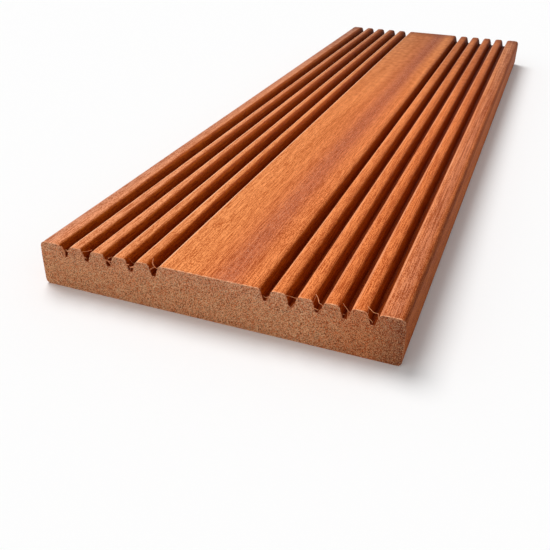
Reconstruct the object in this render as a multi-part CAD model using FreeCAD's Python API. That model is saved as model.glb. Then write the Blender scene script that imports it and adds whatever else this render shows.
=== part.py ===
"""A grooved hardwood decking board, planed to a reeded section and cut square at both ends.

The board is one piece of timber. Its underside is smooth and lies on the joists.
Its top has a smooth band down the middle, with a run of milled drainage grooves on each
side of it, and a plain land outside the last groove. The grooves have sloping walls,
rounded shoulders and a narrow floor, and the four long edges are rounded over.

Sizes are in millimetres. X runs across the board, Y along it and Z up from the underside.
The origin is the middle of the underside.
"""

import FreeCAD
import Part

import math
import os

# The stock, as sawn and planed.
board_length = 450.0
board_width = 145.0
board_thickness = 19.0

# Rounding of the long edges.
top_edge_radius = 2.5
bottom_edge_radius = 2.0

# Layout of the reeded top.
band_width = 40.2
groove_pitch = 9.7
least_edge_land = 6.5

# Section of one groove. The mouth is measured where the walls would meet the top face.
groove_mouth = 4.5
groove_floor = 1.6
groove_depth = 5.0
shoulder_radius = 1.5
floor_radius = 0.4

# A rounding never takes more than this share of the side it is tangent to.
most_of_side = 0.48

node_name = "decking_board"


def groove_centres():
    """Returns the X of every groove's centre line, from the left edge to the right."""
    reeded_width = (board_width - band_width) / 2 - least_edge_land
    grooves_per_side = 1 + max(0, math.floor((reeded_width - groove_mouth) / groove_pitch))
    first = (band_width + groove_mouth) / 2
    right = [first + number * groove_pitch for number in range(grooves_per_side)]
    return sorted([-x for x in right] + right)


def groove_corners(centre):
    """Returns one groove's corners as (x, z, rounding radius), from right to left."""
    floor_height = board_thickness - groove_depth
    return [
        (centre + groove_mouth / 2, board_thickness, shoulder_radius),
        (centre + groove_floor / 2, floor_height, floor_radius),
        (centre - groove_floor / 2, floor_height, floor_radius),
        (centre - groove_mouth / 2, board_thickness, shoulder_radius),
    ]


def section_corners():
    """Returns the corners of the whole section, anticlockwise from the bottom left."""
    side = board_width / 2
    corners = [
        (-side, 0.0, bottom_edge_radius),
        (side, 0.0, bottom_edge_radius),
        (side, board_thickness, top_edge_radius),
    ]
    for centre in reversed(groove_centres()):
        corners += groove_corners(centre)
    corners.append((-side, board_thickness, top_edge_radius))
    return corners


def round_corner(before, corner, after, radius):
    """Rounds one corner of an outline.

    Returns the points where the arc starts, where it is half way and where it ends. The
    radius is limited so that the arc stays on the two sides that meet at the corner.
    """
    to_before = before - corner
    to_after = after - corner
    shorter_side = min(to_before.Length, to_after.Length)
    to_before.normalize()
    to_after.normalize()
    half_angle = to_before.getAngle(to_after) / 2
    setback = min(radius / math.tan(half_angle), most_of_side * shorter_side)
    fitted_radius = setback * math.tan(half_angle)
    inward = (to_before + to_after).normalize()
    nearest = fitted_radius / math.sin(half_angle) - fitted_radius
    return (
        corner + to_before * setback,
        corner + inward * nearest,
        corner + to_after * setback,
    )


def rounded_wire(corners, y):
    """Returns a closed wire at one Y, made of straight sides and tangent arcs."""
    points = [FreeCAD.Vector(x, y, z) for x, z, _ in corners]
    arcs = [
        round_corner(points[i - 1], points[i], points[(i + 1) % len(points)], corners[i][2])
        for i in range(len(points))
    ]
    edges = []
    for i, (start, middle, end) in enumerate(arcs):
        next_start = arcs[(i + 1) % len(arcs)][0]
        edges.append(Part.Arc(start, middle, end).toShape())
        edges.append(Part.LineSegment(end, next_start).toShape())
    return Part.Wire(edges)


def decking_board():
    """Returns the board: its rounded and grooved section, run out to the board's length."""
    outline = rounded_wire(section_corners(), -board_length / 2)
    return Part.Face(outline).extrude(FreeCAD.Vector(0, board_length, 0))


def main():
    """Builds the board, says its size and writes it."""
    board = decking_board()
    os.makedirs("parts", exist_ok=True)
    board.exportStep(os.path.join("parts", node_name + ".step"))
    box = board.BoundBox
    print(
        f"{node_name}: valid {board.isValid()}, {len(board.Solids)} solid, "
        f"{box.XLength:.2f} x {box.YLength:.2f} x {box.ZLength:.2f} mm, "
        f"{len(groove_centres())} grooves, {board.Volume / 1000:.1f} cm3"
    )


main()
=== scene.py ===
"""Looks of a grooved hardwood decking board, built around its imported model.

The board is one length of planed tropical hardwood. Its top has a smooth band between two
runs of milled grooves, and both ends are sawn square. The saw has left torn fibres hanging
in the mouths of the grooves, and a fuzz along the cut edges.

Sizes are written in millimetres and turned to metres where a mesh is made. X runs across
the board, Y along it and Z up, and the end nearest to the camera is the one at low Y.
"""

import logging
import math
from dataclasses import dataclass
from typing import NamedTuple

import bpy
import numpy as np
from mathutils import Euler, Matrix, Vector
from mathutils.geometry import delaunay_2d_cdt

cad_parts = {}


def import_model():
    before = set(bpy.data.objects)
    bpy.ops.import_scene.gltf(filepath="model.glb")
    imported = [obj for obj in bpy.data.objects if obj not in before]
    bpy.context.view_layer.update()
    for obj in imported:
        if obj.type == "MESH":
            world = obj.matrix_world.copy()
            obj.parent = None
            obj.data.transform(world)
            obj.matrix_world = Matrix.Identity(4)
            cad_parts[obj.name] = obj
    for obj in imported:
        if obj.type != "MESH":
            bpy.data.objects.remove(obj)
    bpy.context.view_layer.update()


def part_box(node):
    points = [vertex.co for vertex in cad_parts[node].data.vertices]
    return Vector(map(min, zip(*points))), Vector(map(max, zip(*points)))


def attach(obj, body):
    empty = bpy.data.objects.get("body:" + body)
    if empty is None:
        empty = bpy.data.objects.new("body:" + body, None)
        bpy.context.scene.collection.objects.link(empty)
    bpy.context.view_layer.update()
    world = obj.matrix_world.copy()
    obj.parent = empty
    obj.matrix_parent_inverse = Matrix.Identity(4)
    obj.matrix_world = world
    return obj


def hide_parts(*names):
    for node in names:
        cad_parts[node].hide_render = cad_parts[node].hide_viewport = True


NodeTree = bpy.types.NodeTree
Node = bpy.types.Node
Socket = bpy.types.NodeSocket
Feed = Node | Socket
Pair = tuple[float, float]
Triple = tuple[float, float, float]

MM = 0.001
WHOLE: Pair = (0.0, 1.0)
BOARD_NODE = "decking_board"
BODY = "root"
LOG = logging.getLogger("decking_board")
SOCKET_KINDS = {
    float: "Float", int: "Int", Vector: "Vector",
    bpy.types.Object: "Object", bpy.types.Material: "Material",
}


def linear(colour: str) -> tuple[float, float, float, float]:
    """Turns an sRGB hex colour to linear values.

    Args:
        colour: The colour as "#RRGGBB".

    Returns:
        Linear red, green and blue, and a full alpha.
    """
    values = []
    for start in (1, 3, 5):
        value = int(colour[start:start + 2], 16) / 255
        values.append(value / 12.92 if value <= 0.04045 else ((value + 0.055) / 1.055) ** 2.4)
    return (values[0], values[1], values[2], 1.0)


def add(tree: NodeTree, kind: str, inputs: dict | None = None, **settings) -> Node:
    """Adds a node to a tree, with its settings and links.

    Args:
        tree: The node tree.
        kind: The node's type name.
        inputs: Socket name or number to a value, or to what feeds it: an output socket, or
            a node, which feeds it from the first of its outputs that is in use.
        settings: The node's own properties.

    Returns:
        The new node.
    """
    node = tree.nodes.new(kind)
    for name, value in settings.items():
        setattr(node, name, value)
    for key, value in (inputs or {}).items():
        if isinstance(value, Node):
            value = next(output for output in value.outputs if output.enabled)
        if isinstance(value, Socket):
            tree.links.new(value, node.inputs[key])
        else:
            node.inputs[key].default_value = value
    return node


def new_material(name: str) -> tuple[bpy.types.Material, NodeTree]:
    """Makes a material, and returns it with its empty node tree."""
    material = bpy.data.materials.new(name)
    material.use_nodes = True
    material.node_tree.nodes.clear()
    return material, material.node_tree


def in_millimetres(tree: NodeTree) -> Node:
    """Returns the place on the board in millimetres."""
    place = add(tree, "ShaderNodeTexCoord").outputs["Object"]
    return add(tree, "ShaderNodeVectorMath", {0: place, "Scale": 1 / MM}, operation="SCALE")


def weigh(tree: NodeTree, parts: list[tuple[Feed, float]], start: float = 0.0) -> Feed:
    """Adds up several values.

    Args:
        tree: The node tree.
        parts: Each value with its weight.
        start: What the sum starts from.

    Returns:
        The weighted sum.
    """
    total = start
    for value, weight in parts:
        total = add(tree, "ShaderNodeMath", {0: value, 1: weight, 2: total}, operation="MULTIPLY_ADD")
    return total


def fade(tree: NodeTree, value: Feed, reach: Pair, strengths: Pair = WHOLE) -> Node:
    """Changes a strength from one place to another.

    Args:
        tree: The node tree.
        value: The place, or whatever else the strength goes by.
        reach: Where the change starts and where it ends.
        strengths: The strength before it and the strength after it.

    Returns:
        The strength.
    """
    return add(tree, "ShaderNodeMapRange", {
        "Value": value, "From Min": reach[0], "From Max": reach[1],
        "To Min": strengths[0], "To Max": strengths[1],
    })


def tinted(tree: NodeTree, colour: Feed, value: Feed, reach: Pair, tint: Triple) -> Node:
    """Tints a colour from one place on.

    Args:
        tree: The node tree.
        colour: The colour so far.
        value: The place, or whatever else the tint goes by.
        reach: Where the tint starts and where it is full.
        tint: The share of red, green and blue that is left where it is full.

    Returns:
        The tinted colour.
    """
    start, end = reach
    share = add(tree, "ShaderNodeMapRange", {
        "Vector": value, "From Min": (start, start, start), "From Max": (end, end, end),
        "To Min": (1.0, 1.0, 1.0), "To Max": tint,
    }, data_type="FLOAT_VECTOR")
    return add(tree, "ShaderNodeVectorMath", {0: colour, 1: share}, operation="MULTIPLY")


def sees_white(tree: NodeTree) -> Node:
    """Tells the rays that meet the white background from those that light the board.

    Args:
        tree: The node tree of the world or of the floor.

    Returns:
        A mask that is 1 for camera, glossy and transmission rays.
    """
    path = add(tree, "ShaderNodeLightPath").outputs
    seen = path["Is Camera Ray"]
    for other in ("Is Glossy Ray", "Is Transmission Ray"):
        seen = add(tree, "ShaderNodeMath", {0: seen, 1: path[other]}, operation="MAXIMUM")
    return seen


class Pattern(NamedTuple):
    """Marks drawn out along the grain, at the real width and length of one of them.

    The offset keeps two patterns from lying alike. Weight is how much paler a mark is than
    the wood around it, or how much darker where it is negative. Detail adds finer marks
    within the marks, and share is the part of the cells that hold a dash.
    """

    width_mm: float
    length_mm: float
    offset: float
    weight: float = 1.0
    detail: float = 0.0
    share: float = 1.0


class Band(NamedTuple):
    """A band along the board: its middle and its half width in millimetres, and its strength."""

    middle_mm: float
    half_width_mm: float
    strength: float


class WoodPlace(NamedTuple):
    """Where a point of the board is, in millimetres.

    Grain, x and y follow the wood, whose grain drifts slowly from side to side. Height and
    from_middle, the distance from the middle of the board's length, are the point's own.
    Side is 1 on the long edges and 0 on the top, and top is the other way round, apart
    from a rest.
    """

    grain: Feed
    x: Feed
    y: Feed
    height: Feed
    from_middle: Feed
    side: Feed
    top: Feed


@dataclass(frozen=True)
class PlanedHardwood:
    """Dense red tropical hardwood, planed and milled along the grain.

    The knives leave a nearly matt surface. Growth zones run along the board as broad bands
    of honey, amber and mauve. Over them lie the fibre, as fine streaks, and the open
    vessels, as short dark dashes with paler ones between. They show most at the near end,
    and a soft figure takes over towards the far one. The grooves carry painted shade, darker
    towards their floor, and the shoulder on the lit side of each carries pale lifted fibres
    with a painted highlight. Painted shade also darkens the right long side, the sides near
    the near end, and the board towards its far end and at its far edge.
    """

    roughness: float = 0.6
    ior: float = 1.5
    specular: float = 0.03
    fibre_relief_mm: float = 0.012
    vessel_relief_mm: float = -0.02

    # The growth zones, as the place across the board and the colour there. The darkest stops, at the right
    # edge, are painted shade on the right long side.
    zone_width_mm: float = 150.0
    zones: tuple[tuple[float, str], ...] = (
        (-72.5, "#C27C56"), (-69.8, "#C67B55"), (-66.0, "#E8905C"), (-45.0, "#E2864E"), (-25.0, "#E7884A"),
        (-8.0, "#E88543"), (1.0, "#D8743C"), (6.0, "#BD6036"), (10.5, "#C46437"), (16.0, "#E98343"),
        (40.0, "#E37A3C"), (58.0, "#DB7236"), (64.5, "#DE7D45"), (69.0, "#B5643F"), (72.5, "#BC5C1B"),
    )
    drift_mm: float = 1.0
    drift_width_mm: float = 50.0
    drift_length_mm: float = 160.0

    # The grain's patterns, and the tone that they make between a dark tint and a pale one.
    ribbon: Pattern = Pattern(4.5, 120.0, 11.0, weight=0.7, detail=1.0)
    streak: Pattern = Pattern(0.8, 50.0, 23.0, detail=1.0)
    figure: Pattern = Pattern(3.2, 5.0, 53.0, weight=0.7)
    fibre: Pattern = Pattern(0.26, 9.0, 37.0, weight=1.7)
    grit: Pattern = Pattern(0.20, 0.6, 41.0, weight=2.0)
    long_vessel: Pattern = Pattern(0.34, 5.5, 0.0, weight=-1.1, share=0.6)
    short_vessel: Pattern = Pattern(0.38, 2.2, 29.0, weight=-1.0, share=0.5)
    pale_vessel: Pattern = Pattern(0.34, 4.0, 71.0, weight=0.9, share=0.5)
    scratch: Pattern = Pattern(0.5, 70.0, 97.0, weight=0.9, share=0.08)
    fine_start: float = -1.81
    tone_start: float = 0.13
    dark_tint: Triple = (0.62, 0.44, 0.28)
    pale_tint: Triple = (1.28, 1.55, 2.00)
    noise_roughness: float = 0.6
    dash_reach: Pair = (0.36, 0.16)
    faint_dashes: float = 0.4
    band_core: float = 0.3

    # How the patterns change over the board.
    near_reach_mm: Pair = (-215.0, 90.0)
    near_share: Pair = (1.0, 0.22)
    near_contrast: float = 1.95
    figure_reach_mm: Pair = (-80.0, 150.0)
    few_vessels_reach_mm: Pair = (-8.0, 14.0)
    few_vessels: float = 0.55
    soft_reach_mm: Pair = (-60.0, 100.0)
    soft_strengths: Pair = (0.6, 0.08)
    streaky_bands: tuple[Band, ...] = (Band(68.5, 5.0, 2.0), Band(46.0, 26.0, 0.5))

    # Pale flecks in the mauve bands, where the grain runs out of the surface.
    fleck: Pattern = Pattern(0.38, 0.5, 131.0, share=0.7)
    fleck_colour: str = "#FFC09C"
    fleck_bands: tuple[Band, ...] = (Band(7.0, 6.5, 1.0), Band(68.0, 5.5, 0.6))

    # Painted shade in the grooves, keener on the left run, sparing its lips at the near end, and darker still
    # at the floor.
    groove_shade_reach: Pair = (0.0, 0.20)
    groove_shade_tint: Triple = (0.46, 0.26, 0.035)
    left_shade_tint: Triple = (0.93, 0.80, 0.60)
    floor_shade_reach: Pair = (0.5, 1.0)
    floor_shade_tint: Triple = (0.55, 0.45, 0.35)
    left_reach_mm: Pair = (-12.0, -16.0)
    left_shade_keenness: float = 2.0
    spared_lip: float = 0.12
    spared_lip_reach_mm: Pair = (-110.0, -190.0)

    # Pale lifted fibres on the lit shoulder of each groove, with a painted highlight, in patches and
    # strongest on the left run.
    fibre_and_highlight_colour: str = "#FFBC90"
    highlight_reach: Pair = (0.3, 0.65)
    highlight_patches: Pair = (0.1, 0.65)
    left_highlight: float = 2.8
    right_highlight: float = 0.6

    # The arris, bruised where the long edges start to round, and the beaded rim of the cuts: pale loose
    # fibres with a painted highlight.
    side_reach_mm: Pair = (70.9, 71.6)
    side_loss: float = 0.8
    arris_reach_mm: Pair = (16.4, 17.4)
    arris_tint: Triple = (0.62, 0.55, 0.50)
    rim_reach_mm: Pair = (224.0, 224.4)
    tuft: Pattern = Pattern(0.6, 1.5, 61.0)
    tuft_reach: Pair = (0.40, 0.58)
    tuft_strengths: Pair = (0.15, 1.0)

    # Slow changes along the board. Painted shade darkens the top towards the far end, where the light falls
    # off, the far edge, and the sides near the near end; some bands grow paler towards the far end.
    far_shade_reach_mm: Pair = (0.0, 212.0)
    far_shade_tint: Triple = (0.62, 0.67, 0.78)
    far_bands: tuple[Band, ...] = (Band(14.5, 6.0, 1.0), Band(67.0, 5.0, 0.8))
    far_band_reach_mm: Pair = (0.0, 70.0)
    far_band_tint: Triple = (1.20, 1.32, 1.28)
    near_side_shade_reach_mm: Pair = (-40.0, -200.0)
    near_side_shade_tint: Triple = (0.84, 0.85, 0.87)
    far_edge_shade_reach_mm: Pair = (208.0, 224.0)
    far_edge_shade_tint: Triple = (0.62, 0.54, 0.52)

    def build(self) -> bpy.types.Material:
        """Builds the material."""
        material, tree = new_material("planed_hardwood")
        at = self._place(tree)
        streak = self._streaks(tree, at, self.streak)
        fibre = self._streaks(tree, at, self.fibre)
        vessel = self._dashes(tree, at, self.long_vessel)
        nearness = fade(tree, at.y, self.near_reach_mm, self.near_share)
        squared = add(tree, "ShaderNodeMath", {0: nearness, 1: 2.0}, operation="POWER")
        contrast = add(tree, "ShaderNodeMath", {0: self.near_contrast, 1: squared}, operation="MULTIPLY")

        fine = self._fine(tree, at, fibre, vessel)
        crisp = add(tree, "ShaderNodeMath", {0: fine, 1: contrast}, operation="MULTIPLY")
        tone = self._tone(tree, at, streak, crisp)
        colour = add(tree, "ShaderNodeVectorMath", {0: self._zoned(tree, at), 1: tone}, operation="MULTIPLY")
        colour = self._flecked(tree, at, colour)
        colour = self._shaded_grooves(tree, at, streak, colour)
        colour = self._edged(tree, at, colour)
        colour = self._changing(tree, at, colour)

        relief = weigh(tree, [(fibre, self.fibre_relief_mm), (vessel, self.vessel_relief_mm)])
        height = add(tree, "ShaderNodeMath", {0: relief, 1: contrast}, operation="MULTIPLY")
        shader = add(tree, "ShaderNodeBsdfPrincipled", {
            "Base Color": colour,
            "Roughness": self.roughness,
            "IOR": self.ior,
            "Specular IOR Level": self.specular,
            "Normal": add(tree, "ShaderNodeBump", {"Strength": 1.0, "Distance": MM, "Height": height}),
        })
        add(tree, "ShaderNodeOutputMaterial", {"Surface": shader})
        return material

    def _place(self, tree: NodeTree) -> WoodPlace:
        """Returns where a point of the board is."""
        own = in_millimetres(tree)
        parts = add(tree, "ShaderNodeSeparateXYZ", {"Vector": own}).outputs
        outwards = add(tree, "ShaderNodeMath", {0: parts["X"]}, operation="ABSOLUTE")
        from_middle = add(tree, "ShaderNodeMath", {0: parts["Y"]}, operation="ABSOLUTE")
        side = fade(tree, outwards, self.side_reach_mm)
        top = weigh(tree, [(side, -self.side_loss)], 1.0)

        # The grain's slow drift.
        across = 1 / self.drift_width_mm
        slow = add(tree, "ShaderNodeVectorMath", {
            0: own, 1: (across, 1 / self.drift_length_mm, across),
        }, operation="MULTIPLY")
        noise = add(tree, "ShaderNodeTexNoise", {"Vector": slow, "Scale": 1.0, "Detail": 1.0})
        centred = add(tree, "ShaderNodeVectorMath", {
            0: noise.outputs["Color"], 1: (0.5, 0.5, 0.5),
        }, operation="SUBTRACT")
        shift = add(tree, "ShaderNodeVectorMath", {
            0: centred, 1: (2 * self.drift_mm, 0.0, 2 * self.drift_mm),
        }, operation="MULTIPLY")
        grain = add(tree, "ShaderNodeVectorMath", {0: own, 1: shift}, operation="ADD")
        drifted = add(tree, "ShaderNodeSeparateXYZ", {"Vector": grain}).outputs
        return WoodPlace(grain, drifted["X"], drifted["Y"], parts["Z"], from_middle, side, top)

    def _zoned(self, tree: NodeTree, at: WoodPlace) -> Node:
        """Returns the colour of the growth zones across the board."""
        half = self.zone_width_mm / 2
        ramp = add(tree, "ShaderNodeValToRGB", {"Fac": fade(tree, at.x, (-half, half))})
        ramp.color_ramp.interpolation = "B_SPLINE"
        stops = ramp.color_ramp.elements
        for number, (x, colour) in enumerate(self.zones):
            where = x / self.zone_width_mm + 0.5
            stop = stops.new(where) if number else stops[0]
            stop.position = where
            stop.color = linear(colour)
        stops.remove(stops[-1])
        return ramp

    def _fine(self, tree: NodeTree, at: WoodPlace, fibre: Feed, vessel: Feed) -> Feed:
        """Returns the tone of the fine grain: fibre, grit and vessels.

        Args:
            tree: The node tree.
            at: Where the point is.
            fibre: The fibre's streaks.
            vessel: The dashes of the long vessels.

        Returns:
            The tone, which is below 0 where the grain is darker than the wood around it.
        """
        short = self._dashes(tree, at, self.short_vessel)
        vessels = weigh(tree, [(vessel, self.long_vessel.weight), (short, self.short_vessel.weight)])
        fewer = fade(tree, at.x, self.few_vessels_reach_mm, (1.0, self.few_vessels))
        return weigh(tree, [
            (add(tree, "ShaderNodeMath", {0: vessels, 1: fewer}, operation="MULTIPLY"), 1.0),
            (fibre, self.fibre.weight),
            (self._streaks(tree, at, self.grit), self.grit.weight),
            (self._dashes(tree, at, self.pale_vessel), self.pale_vessel.weight),
            (self._dashes(tree, at, self.scratch), self.scratch.weight),
        ], self.fine_start)

    def _tone(self, tree: NodeTree, at: WoodPlace, streak: Feed, crisp: Feed) -> Node:
        """Turns ribbons, streaks, fine grain and figure to one tint.

        Args:
            tree: The node tree.
            at: Where the point is.
            streak: The broad streaks.
            crisp: The tone of the fine grain.

        Returns:
            The tint, from dark to pale.
        """
        soft = fade(tree, at.y, self.soft_reach_mm, self.soft_strengths)
        bands = [(self._band(tree, at, band), 1.0) for band in self.streaky_bands]
        broad = add(tree, "ShaderNodeMath", {
            0: weigh(tree, [(streak, 1.0)], -0.5), 1: weigh(tree, bands + [(soft, 1.0)]),
        }, operation="MULTIPLY")
        figured = fade(tree, at.y, self.figure_reach_mm, (0.0, self.figure.weight))
        figured_top = add(tree, "ShaderNodeMath", {0: figured, 1: at.top}, operation="MULTIPLY")
        figure = weigh(tree, [(self._streaks(tree, at, self.figure), 1.0)], -0.5)
        cloud = add(tree, "ShaderNodeMath", {0: figure, 1: figured_top}, operation="MULTIPLY")
        ribbon = self._streaks(tree, at, self.ribbon)
        tone = weigh(tree, [
            (ribbon, self.ribbon.weight), (broad, 1.0), (crisp, 1.0), (cloud, 1.0),
        ], self.tone_start)
        return add(tree, "ShaderNodeMapRange", {
            "Vector": tone, "To Min": self.dark_tint, "To Max": self.pale_tint,
        }, data_type="FLOAT_VECTOR")

    def _flecked(self, tree: NodeTree, at: WoodPlace, colour: Feed) -> Feed:
        """Returns the colour with the pale flecks in its mauve bands."""
        fleck = self._dashes(tree, at, self.fleck)
        for band in self.fleck_bands:
            in_band = self._band(tree, at, band)
            here = add(tree, "ShaderNodeMath", {0: in_band, 1: fleck}, operation="MULTIPLY")
            colour = add(tree, "ShaderNodeMix", {
                "Factor": here, "A": colour, "B": linear(self.fleck_colour),
            }, data_type="RGBA")
        return colour

    def _shaded_grooves(self, tree: NodeTree, at: WoodPlace, streak: Feed, colour: Feed) -> Node:
        """Paints shade into the grooves and a highlight on their lit shoulders.

        Args:
            tree: The node tree.
            at: Where the point is.
            streak: The broad streaks, which break the highlight and lifted fibres into patches.
            colour: The colour so far.

        Returns:
            The colour with painted shade in the grooves, darker still at the floor, and pale lifted fibres
            with a painted highlight on the lit shoulders.
        """
        # Painted shade in the grooves, keener on the left run and sparing its lips at the near end.
        shade_depth = add(tree, "ShaderNodeAttribute", attribute_name="shade_depth").outputs["Fac"]
        highlight_mask = add(tree, "ShaderNodeAttribute", attribute_name="lit_shoulder").outputs["Fac"]
        on_left = fade(tree, at.x, self.left_reach_mm)
        lip_spared = fade(tree, at.y, self.spared_lip_reach_mm, (0.0, self.spared_lip))
        spared = add(tree, "ShaderNodeMath", {0: lip_spared, 1: on_left}, operation="MULTIPLY")
        past_lip = add(tree, "ShaderNodeMath", {0: shade_depth, 1: spared}, operation="SUBTRACT")
        keen = fade(tree, on_left, WHOLE, (1.0, self.left_shade_keenness))
        groove_shade = add(tree, "ShaderNodeMath", {0: past_lip, 1: keen}, operation="MULTIPLY")
        left_groove_shade = add(tree, "ShaderNodeMath", {0: groove_shade, 1: on_left}, operation="MULTIPLY")
        colour = tinted(tree, colour, groove_shade, self.groove_shade_reach, self.groove_shade_tint)
        colour = tinted(tree, colour, left_groove_shade, self.groove_shade_reach, self.left_shade_tint)
        colour = tinted(tree, colour, shade_depth, self.floor_shade_reach, self.floor_shade_tint)

        # Pale lifted fibres and a painted highlight on the lit shoulders, in patches.
        patchy = fade(tree, streak, self.highlight_reach, self.highlight_patches)
        share = fade(tree, on_left, WHOLE, (self.right_highlight, self.left_highlight))
        shared = add(tree, "ShaderNodeMath", {0: patchy, 1: share}, operation="MULTIPLY")
        return add(tree, "ShaderNodeMix", {
            "Factor": add(tree, "ShaderNodeMath", {0: highlight_mask, 1: shared}, operation="MULTIPLY"),
            "A": colour,
            "B": linear(self.fibre_and_highlight_colour),
        }, data_type="RGBA")

    def _edged(self, tree: NodeTree, at: WoodPlace, colour: Feed) -> Node:
        """Returns the colour with bruised arrises, and loose fibres as a pale line at the cuts, with a
        painted highlight.
        """
        upper = fade(tree, at.height, self.arris_reach_mm)
        arris = add(tree, "ShaderNodeMath", {0: at.side, 1: upper}, operation="MULTIPLY")
        colour = tinted(tree, colour, arris, WHOLE, self.arris_tint)
        # Pale loose fibres at the cuts, with a painted highlight where they catch the light.
        rim = fade(tree, at.from_middle, self.rim_reach_mm)
        beads = fade(tree, self._streaks(tree, at, self.tuft), self.tuft_reach, self.tuft_strengths)
        return add(tree, "ShaderNodeMix", {
            "Factor": add(tree, "ShaderNodeMath", {0: rim, 1: beads}, operation="MULTIPLY"),
            "A": colour,
            "B": linear(self.fibre_and_highlight_colour),
        }, data_type="RGBA")

    def _changing(self, tree: NodeTree, at: WoodPlace, colour: Feed) -> Node:
        """Returns the colour with its slow changes from the near end to the far one, most of them painted
        shade.
        """
        # Painted shade on the top where the light falls off towards the far end.
        further = fade(tree, at.y, self.far_shade_reach_mm)
        further_on_top = add(tree, "ShaderNodeMath", {0: further, 1: at.top}, operation="MULTIPLY")
        colour = tinted(tree, colour, further_on_top, WHOLE, self.far_shade_tint)
        setting_in = fade(tree, at.y, self.far_band_reach_mm)
        for band in self.far_bands:
            in_band = self._band(tree, at, band)
            here = add(tree, "ShaderNodeMath", {0: in_band, 1: setting_in}, operation="MULTIPLY")
            colour = tinted(tree, colour, here, WHOLE, self.far_band_tint)
        # Painted shade on the sides near the near end.
        nearer = fade(tree, at.y, self.near_side_shade_reach_mm)
        near_side = add(tree, "ShaderNodeMath", {0: nearer, 1: at.side}, operation="MULTIPLY")
        colour = tinted(tree, colour, near_side, WHOLE, self.near_side_shade_tint)
        # Painted shade at the far edge.
        return tinted(tree, colour, at.y, self.far_edge_shade_reach_mm, self.far_edge_shade_tint)

    def _along_grain(self, tree: NodeTree, at: WoodPlace, pattern: Pattern) -> Node:
        """Returns the place counted in cells of the pattern, one mark to a cell."""
        across = 1 / pattern.width_mm
        return add(tree, "ShaderNodeMapping", {
            "Vector": at.grain,
            "Location": (pattern.offset, pattern.offset, pattern.offset),
            "Scale": (across, 1 / pattern.length_mm, across),
        })

    def _streaks(self, tree: NodeTree, at: WoodPlace, pattern: Pattern) -> Node:
        """Returns noise drawn out along the grain, from 0 to 1."""
        return add(tree, "ShaderNodeTexNoise", {
            "Vector": self._along_grain(tree, at, pattern),
            "Scale": 1.0,
            "Detail": pattern.detail,
            "Roughness": self.noise_roughness,
        })

    def _dashes(self, tree: NodeTree, at: WoodPlace, pattern: Pattern) -> Node:
        """Returns a mask of short dashes along the grain, in a share of the pattern's cells."""
        place = self._along_grain(tree, at, pattern)
        cell = add(tree, "ShaderNodeTexVoronoi", {"Vector": place, "Scale": 1.0})
        near = fade(tree, cell.outputs["Distance"], self.dash_reach)
        pick = add(tree, "ShaderNodeSeparateColor", {"Color": cell.outputs["Color"]}).outputs["Red"]
        chosen = fade(tree, pick, (1.0 - pattern.share, 1.0 - pattern.share * self.faint_dashes))
        return add(tree, "ShaderNodeMath", {0: near, 1: chosen}, operation="MULTIPLY")

    def _band(self, tree: NodeTree, at: WoodPlace, band: Band) -> Node:
        """Returns a mask that is full in a band's core and fades out at its half width."""
        away = weigh(tree, [(at.x, 1.0)], -band.middle_mm)
        aside = add(tree, "ShaderNodeMath", {0: away}, operation="ABSOLUTE")
        full = band.half_width_mm * self.band_core
        return fade(tree, aside, (band.half_width_mm, full), (0.0, band.strength))


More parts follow.
